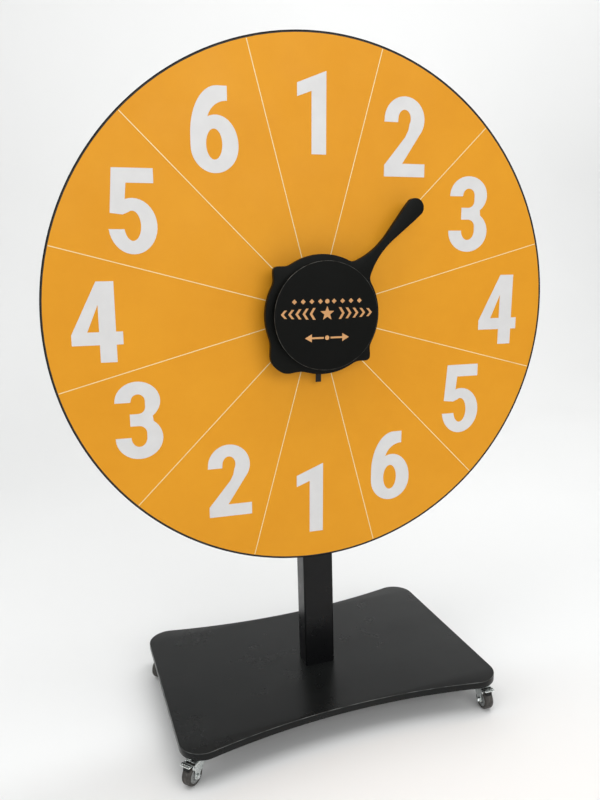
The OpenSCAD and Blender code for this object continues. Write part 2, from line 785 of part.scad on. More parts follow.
module brake_pedal(c) color(zinc) in_caster(c) {
  inner = cheek_in - 0.5;
  difference() {
    union() {
      translate([pin_x, inner, pin_z]) rotate([90, 0, 0]) cylinder(r = 3, h = 2 * inner);
      translate([pin_x, inner, pin_z]) rotate([90, 0, 0]) linear_extrude(2 * inner)
        polygon([[0, 1], [2.5, -1], [7, tread_up], [7, tread_up + tread_t],
                 [5, tread_up + tread_t]]);
      translate([pin_x + 6, -tread_w / 2, pin_z + tread_up]) round_tread();
    }
    translate([pin_x, 20, pin_z]) rotate([90, 0, 0]) cylinder(r = pin_r + run, h = 40);
    for (y = [-1.5:1:1.5])
      translate([pin_x + 9.2, y * 6 - 1.3, pin_z + tread_up - 1]) cube([3.6, 2.6, 5]);
  }
  brake_shoe(wheel_d / 2 + brake_gap, 8);
}

// Foot tread of the pedal, with its outer corners rounded
module round_tread() {
  r = 4;
  cube([tread_l - r, tread_w, tread_t]);
  translate([tread_l - r, r, 0]) cube([r, tread_w - 2 * r, tread_t]);
  for (y = [r, tread_w - r]) translate([tread_l - r, y, 0]) cylinder(r = r, h = tread_t);
}

// Curved shoe that the pedal presses on the tread
module brake_shoe(r, half) {
  translate([trail, half, axle_z]) rotate([90, 0, 0]) linear_extrude(2 * half)
    polygon(concat(
      arc(0, 0, r, r, 44, 62, 5),
      [[pin_x - trail + 3, pin_z - axle_z + 1.5], [pin_x - trail + 8, pin_z - axle_z + 1.5]]
    ));
}

module brake_pin(c) color(steel) in_caster(c)
  translate([pin_x, 0, pin_z]) rotate([90, 0, 0]) {
    out = cheek_in + cheek_t;
    translate([0, 0, -out - 0.6]) cylinder(r = pin_r, h = 2 * out + 1.2);
    for (z = [-out - 1.4, out + 0.1]) translate([0, 0, z]) cylinder(r = 2.4, h = 1.3);
  }

// ---------- assembly ----------

base_board();
under_plate();
post_bolts();
post_end_plate();
post_tube();
post_cap();
mounting_plate();
plate_bolts();
plate_screws();
dial_board();
dial_edge_band();
dial_face();
sector_lines();
dial_numbers();
spindle();
spindle_screws();
bearing_inner_rings();
bearing_spacer();
spindle_nut();
cover_boss();
boss_screw();
cover_pad();
cover_disc();
cover_emblem();
bearing_outer_rings();
bearing_balls();
bearing_housing();
pointer_screws();
pan_pointer();
click_studs();
balance_weight();
click_tongue();
tongue_pivot();
caster_plates();
caster_races();
caster_kingpins();
caster_balls();
caster_screws();
caster_fork(FL);  // caster_fl_fork
caster_axle(FL);  // caster_fl_axle
caster_core(FL);  // caster_fl_core
caster_tyre(FL);  // caster_fl_tyre
caster_fork(FR);  // caster_fr_fork
caster_axle(FR);  // caster_fr_axle
caster_core(FR);  // caster_fr_core
caster_tyre(FR);  // caster_fr_tyre
caster_fork(RL);  // caster_rl_fork
caster_axle(RL);  // caster_rl_axle
caster_core(RL);  // caster_rl_core
caster_tyre(RL);  // caster_rl_tyre
caster_fork(RR);  // caster_rr_fork
caster_axle(RR);  // caster_rr_axle
caster_core(RR);  // caster_rr_core
caster_tyre(RR);  // caster_rr_tyre
brake_pedal(FL);  // brake_fl_pedal
brake_pin(FL);  // brake_fl_pin
brake_pedal(FR);  // brake_fr_pedal
brake_pin(FR);  // brake_fr_pin
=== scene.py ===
"""A floor-standing game spinner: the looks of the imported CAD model, with its camera and light."""

import json
import math

import bmesh
import bpy
from mathutils import Matrix, Vector


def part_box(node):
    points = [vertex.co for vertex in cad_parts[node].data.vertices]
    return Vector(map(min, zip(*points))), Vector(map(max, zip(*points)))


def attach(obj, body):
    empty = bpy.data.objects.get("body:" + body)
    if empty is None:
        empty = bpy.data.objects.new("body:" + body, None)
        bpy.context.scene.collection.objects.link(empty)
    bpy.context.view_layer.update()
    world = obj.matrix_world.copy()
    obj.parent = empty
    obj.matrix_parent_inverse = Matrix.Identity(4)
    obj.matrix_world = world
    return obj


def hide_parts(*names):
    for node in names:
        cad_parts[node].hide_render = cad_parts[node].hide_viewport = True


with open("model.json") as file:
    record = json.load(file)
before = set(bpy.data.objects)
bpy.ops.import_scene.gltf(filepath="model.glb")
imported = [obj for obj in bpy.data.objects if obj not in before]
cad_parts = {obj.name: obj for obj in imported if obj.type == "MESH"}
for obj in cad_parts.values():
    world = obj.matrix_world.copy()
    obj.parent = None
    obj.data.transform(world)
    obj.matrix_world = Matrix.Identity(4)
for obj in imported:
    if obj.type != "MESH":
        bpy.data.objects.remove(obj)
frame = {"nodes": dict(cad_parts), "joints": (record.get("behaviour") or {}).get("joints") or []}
NODES = frame["nodes"]
JOINTS = {joint["name"]: joint for joint in frame["joints"]}
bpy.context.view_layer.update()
MM = 0.001

# ---------------------------------------------------------------- measures of the stand, in metres

DIAL_LOW, DIAL_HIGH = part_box("dial_edge_band")
DIAL_CENTRE = (DIAL_LOW + DIAL_HIGH) / 2
DIAL_FACE_Y = DIAL_LOW.y
DIAL_R = (DIAL_HIGH.x - DIAL_LOW.x) / 2
DIAL_TURN = math.radians(1.4)
HANDLE_ANGLE = math.radians(43)
BASE_TURN = math.radians(2.2)
BASE_SHIFT = -3 * MM
PAN_BACK = DIAL_FACE_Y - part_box("pan_pointer")[1].y
PAN_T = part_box("pan_pointer")[1].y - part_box("pan_pointer")[0].y
BASE_LOW, BASE_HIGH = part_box("base_board")
BASE_SOFT = 0.0016
COVER_LOW, COVER_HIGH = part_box("cover_disc")
COVER_R = (COVER_HIGH.x - COVER_LOW.x) / 2

# ---------------------------------------------------------------- caster measures, in metres

CORNERS = ("fl", "fr", "rl", "rr")
WHEEL_R = 0.025
WHEEL_HALF = 0.012
CORE_R = 0.0175
CHEEK_IN = WHEEL_HALF + 0.0013
CHEEK_T = 0.0023
EYE_R = 0.008
FORK_TOP = 0.057
PEDAL_RISE = 0.005
SHOE_R = WHEEL_R + 0.003

# ---------------------------------------------------------------- material tools

# Socket numbers of a Mix node that mixes colours
MIX_A, MIX_B, MIX_RESULT = 6, 7, 2


class Shade:
    """One node material, with short calls for the nodes that it is made of.
    Sockets of the shader are given by name, with _ for each space."""

    def __init__(self, name, **sockets):
        self.material = bpy.data.materials.new(name)
        self.material.use_nodes = True
        self.tree = self.material.node_tree
        self.shader = self.tree.nodes["Principled BSDF"]
        for key, value in sockets.items():
            self.shader.inputs[key.replace("_", " ")].default_value = value
        self.where = self.node("ShaderNodeTexCoord").outputs["Object"]

    def node(self, kind, **settings):
        made = self.tree.nodes.new(kind)
        for key, value in settings.items():
            setattr(made, key, value)
        return made

    def link(self, a, b):
        self.tree.links.new(a, b)

    def moved(self, offset=(0, 0, 0), scale=(1, 1, 1)):
        """Object coordinates, shifted and stretched."""
        mapping = self.node("ShaderNodeMapping")
        mapping.inputs["Location"].default_value = offset
        mapping.inputs["Scale"].default_value = scale
        self.link(self.where, mapping.inputs["Vector"])
        return mapping.outputs["Vector"]

    def noise(self, scale, detail=3.0, roughness=0.55, where=None):
        made = self.node("ShaderNodeTexNoise")
        made.inputs["Scale"].default_value = scale
        made.inputs["Detail"].default_value = detail
        made.inputs["Roughness"].default_value = roughness
        self.link(where or self.where, made.inputs["Vector"])
        return made.outputs["Fac"]

    def spots(self, scale, where=None):
        made = self.node("ShaderNodeTexVoronoi")
        made.inputs["Scale"].default_value = scale
        self.link(where or self.where, made.inputs["Vector"])
        return made.outputs["Distance"]

    def ramp(self, value, stops):
        """Colours along a value from 0 to 1: stops are (place, (r, g, b))."""
        made = self.node("ShaderNodeValToRGB")
        band = made.color_ramp
        while len(band.elements) < len(stops):
            band.elements.new(0.5)
        for element, (place, colour) in zip(band.elements, stops):
            element.position = place
            element.color = (*colour, 1)
        self.link(value, made.inputs["Fac"])
        return made.outputs["Color"]

    def spread(self, value, low, high, start=0.3, end=0.7):
        """A value rescaled from start..end to low..high."""
        made = self.node("ShaderNodeMapRange")
        made.inputs["From Min"].default_value = start
        made.inputs["From Max"].default_value = end
        made.inputs["To Min"].default_value = low
        made.inputs["To Max"].default_value = high
        self.link(value, made.inputs["Value"])
        return made.outputs["Result"]

    def math(self, operation, a, b=None):
        made = self.node("ShaderNodeMath", operation=operation)
        for socket, value in zip(made.inputs, (a, b)):
            if isinstance(value, (int, float)):
                socket.default_value = value
            elif value is not None:
                self.link(value, socket)
        return made.outputs["Value"]

    def edges(self):
        """Near 1 on outside edges and near 0 elsewhere, from the mesh's pointiness."""
        point = self.node("ShaderNodeNewGeometry").outputs["Pointiness"]
        return self.spread(point, 0.0, 1.0, 0.52, 0.60)

    def edge_line(self, top, soft):
        """1 on the rounded edge just below a flat top, 0 on the top and on the sides."""
        split = self.node("ShaderNodeSeparateXYZ")
        self.link(self.where, split.inputs["Vector"])
        height = split.outputs["Z"]
        above = self.spread(height, 0.0, 1.0, top - soft, top - 0.7 * soft)
        below = self.spread(height, 1.0, 0.0, top - 0.25 * soft, top - 0.05 * soft)
        return self.math("MULTIPLY", above, below)

    def radius(self):
        """Distance from the dial's axis."""
        split = self.node("ShaderNodeSeparateXYZ")
        place = self.moved(offset=(-DIAL_CENTRE.x, 0, -DIAL_CENTRE.z))
        self.link(place, split.inputs["Vector"])
        square = [self.math("POWER", self.math("ABSOLUTE", split.outputs[axis]), 2.0)
                  for axis in ("X", "Z")]
        return self.math("SQRT", self.math("ADD", *square))

    def mix(self, factor, a, b):
        """Colour a where the factor is 0 and colour b where it is 1."""
        made = self.node("ShaderNodeMix", data_type="RGBA")
        self.link(factor, made.inputs["Factor"])
        for number, value in ((MIX_A, a), (MIX_B, b)):
            if isinstance(value, tuple):
                made.inputs[number].default_value = (*value, 1)
            else:
                self.link(value, made.inputs[number])
        return made.outputs[MIX_RESULT]

    def colour(self, value):
        self.link(value, self.shader.inputs["Base Color"])

    def rough(self, value):
        self.link(value, self.shader.inputs["Roughness"])

    def bump(self, height, strength, distance, after=None):
        made = self.node("ShaderNodeBump")
        made.inputs["Strength"].default_value = strength
        made.inputs["Distance"].default_value = distance
        self.link(height, made.inputs["Height"])
        if after:
            self.link(after, made.inputs["Normal"])
        self.link(made.outputs["Normal"], self.shader.inputs["Normal"])
        return made.outputs["Normal"]


# ---------------------------------------------------------------- materials


def powder_coat(name, tone, gloss=0.42):
    """Black powder coat: an orange-peel skin with a little dust."""
    s = Shade(name, Roughness=gloss, Specular_IOR_Level=0.22)
    dust = s.noise(9.0, 5.0, 0.6)
    s.colour(s.ramp(dust, [(0.35, tone), (0.75, tuple(c * 1.5 + 0.002 for c in tone))]))
    s.rough(s.spread(s.noise(14.0, 4.0), gloss - 0.05, gloss + 0.10))
    s.bump(s.noise(1400.0, 2.0), 0.18, 0.00012)
    return s.material


def painted_board():
    """Satin charcoal board: fine roller stipple, faint smears, and a paler line along the rounded
    top edge as a painted highlight.
    """
    s = Shade("painted_board", Specular_IOR_Level=0.17)
    smears = s.noise(3.5, 6.0, 0.62, s.moved(scale=(1.0, 2.2, 1.0)))
    paint = s.ramp(smears, [(0.30, (0.0045, 0.0050, 0.0050)), (0.72, (0.0085, 0.0092, 0.0090))])
    grit = s.ramp(s.spots(420.0), [(0.05, (0.030, 0.030, 0.030)), (0.12, (0.0, 0.0, 0.0))])
    specks = s.math("MULTIPLY", s.spread(s.noise(60.0), 0.0, 1.0, 0.60, 0.75), grit)
    # The rounded top edge is painted paler, broken up by noise: a painted highlight.
    edge = s.edge_line(BASE_HIGH.z, BASE_SOFT)
    board_edge_highlight = s.math("MULTIPLY", edge, s.spread(s.noise(30.0, 4.0), 0.15, 0.9, 0.35, 0.65))
    speckled = s.mix(specks, paint, (0.014, 0.014, 0.0135))
    s.colour(s.mix(board_edge_highlight, speckled, (0.14, 0.145, 0.14)))
    s.rough(s.spread(s.noise(7.0, 5.0, 0.65), 0.24, 0.36))
    fine = s.bump(s.noise(900.0, 2.0), 0.10, 0.00010)
    s.bump(s.noise(26.0, 3.0), 0.05, 0.0006, fine)
    return s.material


def printed_film():
    """Orange printed film on a flat board: even colour, faint mottle and a satin skin."""
    s = Shade("printed_film", Specular_IOR_Level=0.25)
    mottle = s.noise(5.0, 6.0, 0.65)
    wide = s.ramp(mottle, [(0.30, (0.735, 0.300, 0.0080)), (0.70, (0.780, 0.332, 0.0115))])
    grain = s.spread(s.noise(1100.0, 1.0), 0.0, 0.06)
    s.colour(s.mix(grain, wide, (0.66, 0.245, 0.006)))
    s.rough(s.spread(s.noise(11.0, 4.0), 0.46, 0.56))
    s.bump(s.noise(650.0, 2.0), 0.06, 0.0001)
    return s.material


def cut_vinyl(name, low, high, gloss=0.42):
    """Cut vinyl: a thin film with faint tone changes."""
    s = Shade(name)
    s.colour(s.ramp(s.noise(16.0, 5.0, 0.6), [(0.3, low), (0.7, high)]))
    s.rough(s.spread(s.noise(40.0, 3.0), gloss - 0.05, gloss + 0.05))
    s.bump(s.noise(500.0, 2.0), 0.05, 0.0001)
    return s.material


def satin_black(name, tone, gloss, highlight_tone, peel=0.12, shine=0.12, rim=None):
    """Sprayed satin black with an orange-peel skin, and edges painted paler as a painted highlight.
    A rim is the radius outside which the edge of a disc gets this painted highlight."""
    s = Shade(name, Specular_IOR_Level=shine)
    base = s.ramp(s.noise(12.0, 5.0, 0.6), [(0.3, tone), (0.7, tuple(c * 1.35 for c in tone))])
    # Paler colour on the edges, broken up by noise: a painted highlight.
    edge = s.spread(s.radius(), 0.0, 1.0, rim - 0.0003, rim + 0.0003) if rim else s.edges()
    edge_highlight = s.math("MULTIPLY", edge, s.spread(s.noise(55.0, 4.0), 0.15, 1.0, 0.35, 0.65))
    s.colour(s.mix(edge_highlight, base, highlight_tone))
    s.rough(s.spread(s.noise(24.0, 4.0), gloss - 0.06, gloss + 0.06))
    s.bump(s.noise(800.0, 2.0), peel, 0.00012)
    return s.material


def raw_board():
    """Back of the dial: black-faced board with fine fibre and a few scuffs."""
    s = Shade("dial_backing", IOR=1.45)
    fibre = s.noise(140.0, 5.0, 0.7, s.moved(scale=(1.0, 1.0, 0.25)))
    s.colour(s.ramp(fibre, [(0.32, (0.010, 0.010, 0.010)), (0.72, (0.022, 0.021, 0.020))]))
    s.rough(s.spread(s.noise(6.0, 5.0), 0.50, 0.66))
    s.bump(fibre, 0.12, 0.0002)
    return s.material


def bright_zinc():
    """Bright zinc plate: bluish, blotchy and softly brushed."""
    s = Shade("bright_zinc", Metallic=1.0)
    blotch = s.noise(120.0, 5.0, 0.6)
    s.colour(s.ramp(blotch, [(0.30, (0.72, 0.76, 0.75)), (0.72, (0.84, 0.87, 0.85))]))
    s.rough(s.spread(s.noise(260.0, 4.0), 0.22, 0.36))
    s.bump(s.noise(900.0, 2.0, where=s.moved(scale=(1.0, 1.0, 0.15))), 0.06, 0.00006)
    return s.material


def turned_metal(name, low, high, gloss):
    """Turned metal: fine rings round the dial's axis."""
    s = Shade(name, Metallic=1.0)
    rings = s.math("SINE", s.math("MULTIPLY", s.radius(), 9000.0))
    s.colour(s.ramp(s.noise(70.0, 4.0), [(0.3, low), (0.7, high)]))
    s.rough(s.spread(s.noise(200.0, 3.0), gloss - 0.06, gloss + 0.08))
    s.bump(rings, 0.15, 0.00004)
    return s.material


def dark_plastic(name, tone, gloss=0.5, shine=0.25):
    """Moulded black plastic with a fine spark-eroded grain."""
    s = Shade(name, Specular_IOR_Level=shine)
    s.colour(s.ramp(s.noise(35.0, 4.0), [(0.3, tone), (0.7, tuple(c * 1.5 for c in tone))]))
    s.rough(s.spread(s.noise(90.0, 3.0), gloss - 0.06, gloss + 0.08))
    s.bump(s.spots(1500.0), 0.12, 0.0001)
    return s.material


def tread_rubber():
    """Grey-brown caster rubber with floor dust on it."""
    s = Shade("tread_rubber", Specular_IOR_Level=0.30)
    dust = s.noise(95.0, 6.0, 0.65)
    s.colour(s.ramp(dust, [(0.30, (0.030, 0.027, 0.025)), (0.55, (0.062, 0.058, 0.053)),
                           (0.80, (0.150, 0.140, 0.128))]))
    s.rough(s.spread(s.noise(60.0, 4.0), 0.52, 0.72))
    s.bump(s.noise(700.0, 3.0), 0.22, 0.00015)
    return s.material


def pale_core():
    """Pale grey moulded wheel core."""
    s = Shade("wheel_core")
    s.colour(s.ramp(s.noise(80.0, 5.0), [(0.30, (0.24, 0.25, 0.245)), (0.75, (0.36, 0.37, 0.365))]))
    s.rough(s.spread(s.noise(140.0, 3.0), 0.30, 0.46))
    s.bump(s.noise(600.0, 2.0), 0.10, 0.0001)
    return s.material


BLACK = (0.0020, 0.0022, 0.0015)
POWDER = powder_coat("powder_coat", (0.0024, 0.0026, 0.0030), 0.28)
PLATE_COAT = powder_coat("plate_coat", (0.009, 0.009, 0.009), 0.5)
BOARD = painted_board()
FILM = printed_film()
BACKING = raw_board()
NUMBER_VINYL = cut_vinyl("number_vinyl", (0.66, 0.652, 0.648), (0.715, 0.708, 0.703))
LINE_VINYL = cut_vinyl("line_vinyl", (0.84, 0.65, 0.31), (0.90, 0.72, 0.37))
EMBLEM_VINYL = cut_vinyl("emblem_vinyl", (0.56, 0.27, 0.095), (0.66, 0.34, 0.13))
# The second colour of each is painted on its edges as a painted highlight; on the cover only in a
# thin ring at its rim.
PAN_PAINT = satin_black("pan_paint", BLACK, 0.46, (0.022, 0.022, 0.021))
COVER_SHEET = satin_black("cover_sheet", (0.0032, 0.0034, 0.0029), 0.52, (0.085, 0.085, 0.078),
                          0.05, 0.08, COVER_R - 0.0009)
ZINC = bright_zinc()
STEEL = turned_metal("turned_steel", (0.50, 0.51, 0.52), (0.62, 0.63, 0.64), 0.28)
ALLOY = turned_metal("turned_alloy", (0.62, 0.63, 0.65), (0.72, 0.73, 0.75), 0.32)
PLASTIC = dark_plastic("moulded_black", (0.0060, 0.0060, 0.0060))
BAND = dark_plastic("edge_band", (0.0018, 0.0018, 0.0018), 0.5, 0.08)
RUBBER = tread_rubber()
CORE = pale_core()
FOAM = dark_plastic("foam_pad", (0.012, 0.012, 0.012), 0.8)

# CAD nodes that stay as they are, with their material
KEPT = {
    POWDER: ["post_tube"],
    PLATE_COAT: ["under_plate", "post_end_plate", "mounting_plate"],
    PLASTIC: ["post_cap", "caster_races", "click_tongue"],
    BACKING: ["dial_board"],
    FILM: ["dial_face"],
    LINE_VINYL: ["sector_lines"],
    NUMBER_VINYL: ["dial_numbers"],
    EMBLEM_VINYL: ["cover_emblem"],
    FOAM: ["cover_pad"],
    ALLOY: ["bearing_spacer", "cover_boss", "bearing_housing"],
    STEEL: ["spindle", "bearing_inner_rings", "bearing_outer_rings", "bearing_balls",
            "click_studs", "balance_weight", "caster_balls", "brake_fl_pin", "brake_fr_pin"],
    ZINC: ["post_bolts", "plate_bolts", "plate_screws", "spindle_screws", "spindle_nut",
           "boss_screw", "pointer_screws", "tongue_pivot", "caster_plates",
           "caster_kingpins", "caster_screws"],
}


def dress(obj, material):
    obj.data.materials.clear()
    obj.data.materials.append(material)


for kept_material, names in KEPT.items():
    for node_name in names:
        dress(NODES[node_name], kept_material)


# ---------------------------------------------------------------- mesh tools

# A quarter turn about x: z comes towards the viewer and y stands up
UPRIGHT = Matrix.Rotation(math.pi / 2, 4, "X")


def arc(cx, cy, r, start, end, count):
    """Points along a circle, angles in degrees."""
    angles = [math.radians(start + (end - start) * i / count) for i in range(count + 1)]
    return [(cx + r * math.cos(a), cy + r * math.sin(a)) for a in angles]


def add(name, mesh, material, sharp=35):
    """An object from a bmesh or a mesh, with one material and smooth faces."""
    if isinstance(mesh, bmesh.types.BMesh):
        made = bpy.data.meshes.new(name)
        mesh.to_mesh(made)
        mesh.free()
        mesh = made
    obj = bpy.data.objects.new(name, mesh)
    bpy.context.scene.collection.objects.link(obj)
    dress(obj, material)
    mesh.shade_smooth()
    mesh.set_sharp_from_angle(angle=math.radians(sharp))
    return obj


def cut_sheet(name, loops, thickness, bevel, material, place, sharp=50):
    """A sheet cut to closed loops, the first one outside and the rest holes, in metres.
    Its back lies on z = 0 of the place matrix, and all its edges are rounded."""
    curve = bpy.data.curves.new(name, "CURVE")
    curve.dimensions = "2D"
    curve.fill_mode = "BOTH"
    curve.extrude = thickness / 2 - bevel
    curve.bevel_depth = bevel
    curve.bevel_resolution = 3
    curve.offset = -bevel
    for loop in loops:
        spline = curve.splines.new("POLY")
        spline.points.add(len(loop) - 1)
        for point, (x, y) in zip(spline.points, loop):
            point.co = (x, y, 0, 1)
        spline.use_cyclic_u = True
    maker = bpy.data.objects.new(name + "_curve", curve)
    bpy.context.scene.collection.objects.link(maker)
    bpy.context.view_layer.update()
    graph = bpy.context.evaluated_depsgraph_get()
    mesh = bpy.data.meshes.new_from_object(maker.evaluated_get(graph))
    bpy.data.objects.remove(maker)
    bpy.data.curves.remove(curve)
    mesh.transform(place @ Matrix.Translation((0, 0, thickness / 2)))
    mesh.materials.clear()
    tidy = bmesh.new()
    tidy.from_mesh(mesh)
    bmesh.ops.remove_doubles(tidy, verts=tidy.verts, dist=1e-6)
    bmesh.ops.recalc_face_normals(tidy, faces=tidy.faces)
    tidy.to_mesh(mesh)
    tidy.free()
    return add(name, mesh, material, sharp=sharp)


def lathe(name, profile, material, place, steps=96, sharp=35):
    """A closed profile of (radius, height) turned round z of the place matrix."""
    mesh = bmesh.new()
    rings = []
    for i in range(steps):
        a = math.tau * i / steps
        rings.append([mesh.verts.new((r * math.cos(a), r * math.sin(a), z)) for r, z in profile])
    count = len(profile)
    for i, ring in enumerate(rings):
        after = rings[(i + 1) % steps]
        for j in range(count):
            k = (j + 1) % count
            mesh.faces.new((ring[j], after[j], after[k], ring[k]))
    bmesh.ops.remove_doubles(mesh, verts=mesh.verts, dist=1e-7)
    bmesh.ops.recalc_face_normals(mesh, faces=mesh.faces)
    mesh.transform(place)
    return add(name, mesh, material, sharp=sharp)


def finish_piece(obj, body, slot, *nodes):
    """Gives a piece its body and hides the CAD nodes that it stands for. The slot argument is not
    used.
    """
    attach(obj, body)
    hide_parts(*nodes)


def on_dial(front, turn=0.0):
    """Place on the dial's axis, front metres before its face: x right, y up, z to the viewer."""
    spot = Vector((DIAL_CENTRE.x, DIAL_FACE_Y - front, DIAL_CENTRE.z))
    return Matrix.Translation(spot) @ UPRIGHT @ Matrix.Rotation(turn, 4, "Z")


# ---------------------------------------------------------------- base board


def base_loop():
    """Straight sides, waisted front and back, rounded corners.
    A clear angle, in degrees, keeps each corner's first point off the waisted curve's end."""
    half, depth, waist, r, clear = 0.40495, 0.5739, 0.052, 0.055, 2
    big = (half * half + waist * waist) / (2 * waist)
    far = depth / 2 + big - waist
    cx = half - r
    cy = far - math.sqrt((big + r) ** 2 - cx * cx)
    turn = math.degrees(math.atan2(far - cy, cx))
    front = arc(0, -far, big, 180 - turn, turn, 48)
    near = arc(cx, -cy, r, 180 + clear + turn, 360, 22)
    back = arc(cx, cy, r, 0, 180 - clear - turn, 22)
    right = front + near + back
    return right + [(-x, -y) for x, y in right]


def make_base():
    thickness = BASE_HIGH.z - BASE_LOW.z
    place = Matrix.Translation((BASE_SHIFT, 0, BASE_LOW.z)) @ Matrix.Rotation(BASE_TURN, 4, "Z")
    board = cut_sheet("base_panel", [base_loop()], thickness, BASE_SOFT, BOARD, place)
    finish_piece(board, "stand", "base_wood", "base_board")


# ---------------------------------------------------------------- dial edge


def make_dial_band():
    """Black edge band with rounded corners and two shallow grooves round it."""
    depth = DIAL_HIGH.y - DIAL_LOW.y
    r, t, soft = DIAL_R, 0.002, 0.001
    groove_half, groove_depth = 0.0005, 0.0003
    profile = [(r - t, -depth)]
    profile += arc(r - soft, -depth + soft, soft, 270, 360, 4)
    for groove in (-depth * 0.62, -depth * 0.38):
        profile += [(r, groove - groove_half), (r - groove_depth, groove),
                    (r, groove + groove_half)]
    profile += arc(r - soft, -soft, soft, 0, 90, 4)
    profile += [(r - t, 0)]
    band = lathe("dial_band", profile, BAND, on_dial(0), steps=360)
    finish_piece(band, "stand", "band_plastic", "dial_edge_band")


# ---------------------------------------------------------------- pan-shaped pointer


def bell(distance, spread, power=2):
    """1 at no distance, falling smoothly to 0."""
    return math.exp(-(abs(distance) / spread) ** power)


def pan_rim(a):
    """Radius of the round pan at angle a, with its two pouring lips and its lobe, in mm."""
    pan_r, lip, lip_spread, lobe, lobe_spread = 135, 19.5, 7, 26, 15.5
    lips = lip * (bell(a - 90, lip_spread) + bell(a - 270, lip_spread))
    return pan_r + lips + lobe * bell(a - 180, lobe_spread, 3)


def handle_half(s, lean):
    """Half width of the handle at distance s from the middle of the pan, in mm."""
    neck, neck_half, flare, swell = 212, 9, 175, 200
    root, root_extra, root_length = 129, 12, 3
    straight = neck + swell * math.sin(math.radians(lean))
    if s < neck:
        curve = flare - math.sqrt(flare ** 2 - (neck - s) ** 2)
        return neck_half + curve + root_extra * math.exp((root - s) / root_length)
    if s < straight:
        return neck_half + swell - math.sqrt(swell ** 2 - (s - neck) ** 2)
    rise = (s - straight) * math.tan(math.radians(lean))
    return neck_half + swell * (1 - math.cos(math.radians(lean))) + rise


def pan_loop():
    """Round pan with two pouring lips, a lobe, and a waisted handle along +x."""
    lean, end, tip_r = 7.4, 345, 21.4
    stations = [131, 132.5, 134, 136, 139, 142, 146, *range(150, 309, 4)]
    side = [(s, handle_half(s, lean)) for s in stations]
    tip = arc(end - tip_r, 0, tip_r, lean - 90, 90 - lean, 40)
    start = math.degrees(math.atan2(side[0][1], side[0][0]))
    first = math.ceil(start) + 1
    body = []
    for a in range(first, 361 - first):
        c, s = math.cos(math.radians(a)), math.sin(math.radians(a))
        body.append((pan_rim(a) * c, pan_rim(a) * s))
    loop = [(s, -h) for s, h in side] + tip + side[::-1] + body
    return [(x * MM, y * MM) for x, y in loop]


def make_pan():
    hub_r = 0.0271
    hub = arc(0, 0, hub_r, 0, 354, 59)
    place = on_dial(PAN_BACK, math.pi / 2 - HANDLE_ANGLE - DIAL_TURN)
    pan = cut_sheet("pan_plate", [pan_loop(), hub], PAN_T, 0.0018, PAN_PAINT, place)
    finish_piece(pan, "pointer", "pan_plastic", "pan_pointer")


def make_cover():
    """Thin round cover with a softly rounded edge, just behind the face of its ornament."""
    front_gap, soft = 0.00005, 0.0009
    thick = COVER_HIGH.y - COVER_LOW.y - front_gap
    profile = [(0, 0), *arc(COVER_R - soft, soft, soft, 270, 360, 6),
               *arc(COVER_R - soft, thick - soft, soft, 0, 90, 6), (0, thick)]
    cover = lathe("cover_plate", profile, COVER_SHEET, on_dial(DIAL_FACE_Y - COVER_HIGH.y), 240)
    finish_piece(cover, "stand", "cover_plastic", "cover_disc")


# ---------------------------------------------------------------- casters


def caster_place(key):
    """Caster frame: swivel axis at the origin on the floor, x along the trail, z up."""
    swivel = Vector(JOINTS["swivel_" + key]["pos_m"])
    wheel = Vector(JOINTS["wheel_" + key]["pos_m"])
    trail = wheel - swivel
    turn = math.atan2(trail.y, trail.x)
    place = Matrix.Translation((swivel.x, swivel.y, 0)) @ Matrix.Rotation(turn, 4, "Z")
    return place, math.hypot(trail.x, trail.y), wheel.z


def across_axle(place, trail, axle_z):
    """Place on the wheel's axis, with z along it and y up."""
    return place @ Matrix.Translation((trail, 0, axle_z)) @ UPRIGHT


def cheek_edges(z, trail, axle_z, has_brake):
    """Front and back edge of a fork cheek at height z."""
    crown_front, shoulder, back_taper = -0.013, 0.007, 0.002
    lug_low, lug_rise, lug_reach = 0.043, 0.005, 0.0074
    if z < axle_z:
        reach = math.sqrt(max(EYE_R ** 2 - (axle_z - z) ** 2, 1e-10))
        return trail - reach, trail + reach
    up = min((z - axle_z) / (FORK_TOP - shoulder - axle_z), 1.0)
    front = trail - EYE_R + (crown_front - trail + EYE_R) * up ** 0.9
    back = trail + EYE_R - back_taper * min(up * 3, 1.0)
    if has_brake:
        lug = min(max((z - lug_low) / lug_rise, 0.0), 1.0)
        back += lug_reach * lug * lug * (3 - 2 * lug)
    return front, back


def fork_path(axle_z):
    """One cheek and its bend into the top, as (y, z, angle of the outward face)."""
    bend, flat_steps, bend_steps = 0.0035, 14, 5
    outside = CHEEK_IN + CHEEK_T
    low = axle_z - EYE_R
    rise = FORK_TOP - bend - low
    path = [(outside, low + rise * i / flat_steps, 0) for i in range(flat_steps + 1)]
    for i in range(1, bend_steps + 1):
        a = math.pi / 2 * i / bend_steps
        path.append((outside - bend + bend * math.cos(a), FORK_TOP - bend + bend * math.sin(a), a))
    return path


